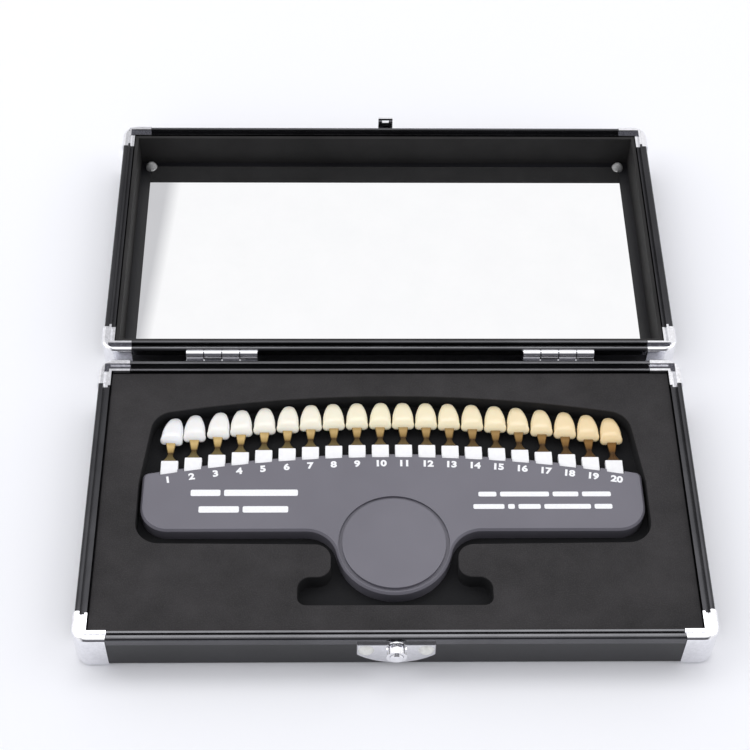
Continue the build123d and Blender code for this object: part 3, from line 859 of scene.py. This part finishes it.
# What shiny surfaces see, by direction: white, a dark patch low in front, a slanted grey curtain
ROOM_WHITE = (0.99, 0.99, 1.0)
ROOM_DARK = (0.10, 0.10, 0.112)
ROOM_DEPTH = (-0.42, -0.10)
ROOM_RISE = (0.80, 0.95)
ROOM_WIDTH = (0.42, 0.60)
CURTAIN_GREY = (0.60, 0.60, 0.62)
CURTAIN_SLANT = 0.2576
CURTAIN_RIGHT = (-0.276, -0.268)
CURTAIN_LEFT = (-0.34, -0.36)


def floor_material():
    """Pale seamless paper with a breath of unevenness."""
    s = Shader("studio_paper")
    broad = s.noise(scale=3, detail=2)
    s.tint(broad, (0.2, (0.925, 0.926, 0.945)), (0.8, (0.940, 0.940, 0.956)))
    s.set(Roughness=0.9, Specular_IOR_Level=0.2)
    return s.material


def make_floor():
    half = FLOOR_HALF
    points = [(-half, -half, 0), (half, -half, 0), (half, half, 0), (-half, half, 0)]
    mesh = bpy.data.meshes.new("floor")
    mesh.from_pydata(points, [], [(0, 1, 2, 3)])
    mesh.materials.append(floor_material())
    floor = bpy.data.objects.new("floor", mesh)
    floor.location.z = -FLOOR_DROP
    bpy.context.collection.objects.link(floor)


def make_light(name, at, size, energy):
    data = bpy.data.lights.new(name, "AREA")
    data.shape = "RECTANGLE"
    data.size, data.size_y = size
    data.energy = energy
    light = bpy.data.objects.new(name, data)
    light.location = at
    light.rotation_euler = (-Vector(at)).to_track_quat("-Z", "Y").to_euler()
    bpy.context.collection.objects.link(light)


def room_tone(tree):
    """Colour of the room by direction."""
    split = tree.nodes.new("ShaderNodeSeparateXYZ")
    direction = tree.nodes.new("ShaderNodeTexCoord").outputs["Generated"]
    tree.links.new(direction, split.inputs["Vector"])
    x, y, z = (split.outputs[axis] for axis in "XYZ")
    behind = tree.rise(y, *ROOM_DEPTH)
    above = tree.rise(z, *ROOM_RISE)
    beside = tree.rise(tree.calculate("ABSOLUTE", x), *ROOM_WIDTH)
    bright = tree.calculate("MAXIMUM", tree.calculate("MAXIMUM", behind, above), beside)
    slant = tree.calculate("MULTIPLY_ADD", y, -CURTAIN_SLANT, x)
    right_of_curtain = tree.rise(slant, *CURTAIN_RIGHT)
    left_of_curtain = tree.rise(slant, *CURTAIN_LEFT)
    clear = tree.calculate("MAXIMUM", right_of_curtain, left_of_curtain)
    return tree.mix(clear, CURTAIN_GREY, tree.mix(bright, ROOM_DARK, ROOM_WHITE))


def make_world():
    """White behind the object, the room for shiny surfaces and an even light for the rest."""
    world = bpy.data.worlds.new("studio")
    bpy.context.scene.world = world
    world.use_nodes = True
    tree = Tree(world.node_tree)
    tree.nodes.clear()
    paths = tree.nodes.new("ShaderNodeLightPath").outputs

    def background(colour, strength=1.0):
        node = tree.nodes.new("ShaderNodeBackground")
        tree.connect(colour, node.inputs["Color"], colour=True)
        node.inputs["Strength"].default_value = strength
        return node.outputs[0]

    def chosen(share, first, second):
        node = tree.nodes.new("ShaderNodeMixShader")
        for value, socket in zip((share, first, second), node.inputs):
            tree.links.new(value, socket)
        return node.outputs[0]

    sky = background(SKY_TONE, SKY_STRENGTH)
    shiny = chosen(paths["Is Glossy Ray"], sky, background(room_tone(tree)))
    plain = tree.calculate("MAXIMUM", paths["Is Camera Ray"], paths["Is Transmission Ray"])
    out = tree.nodes.new("ShaderNodeOutputWorld")
    tree.links.new(chosen(plain, shiny, background(ROOM_WHITE)), out.inputs["Surface"])


def dress(material, *names):
    """Gives solids a material."""
    for name in names:
        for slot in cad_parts[name].material_slots:
            slot.material = material


def dress_case():
    chrome = plated_material("chrome", CHROME_TONE, low=0.06, high=0.16)
    # Painted shade: near-black pin steel that darkens the splits between the knuckles
    pin_steel_painted_shade = plated_material("pin_steel_painted_shade", PIN_PAINTED_SHADE_TONE, low=0.22, high=0.36)
    dress(panel_material(), "base_tray", "lid_tray")
    dress(rail_material(), "base_rim_rails", "lid_rim_rails")
    dress(chrome, "base_corner_castings", "lid_corner_castings")
    dress(chrome, "base_hinge_leaves", "lid_hinge_leaves")
    dress(chrome, "latch_plate", "latch_button", "latch_spring", "catch_hook")
    dress(pin_steel_painted_shade, "hinge_pins")
    dress(rivet_material(), "base_rivets", "lid_rivets")
    dress(lining_material(), "lid_lining")
    dress(mirror_material(), "mirror")
    dress(adhesive_material(), "mirror_dabs")
    foam_piece(foam_material())


def dress_guide():
    dress(holder_material(), "shade_holder")
    enamel = enamel_material()
    gold = neck_material()
    ink = print_material()
    for index in range(TAB_COUNT):
        tooth_piece(index)
        stem_piece(index, enamel, gold)
    for index in range(TAB_COUNT):
        label_piece(index, ink)
    bar_print(ink)


make_camera()
make_world()
make_floor()
for softbox in SOFTBOXES:
    make_light(*softbox)
dress_case()
dress_guide()
bpy.context.scene.view_settings.view_transform = "Standard"
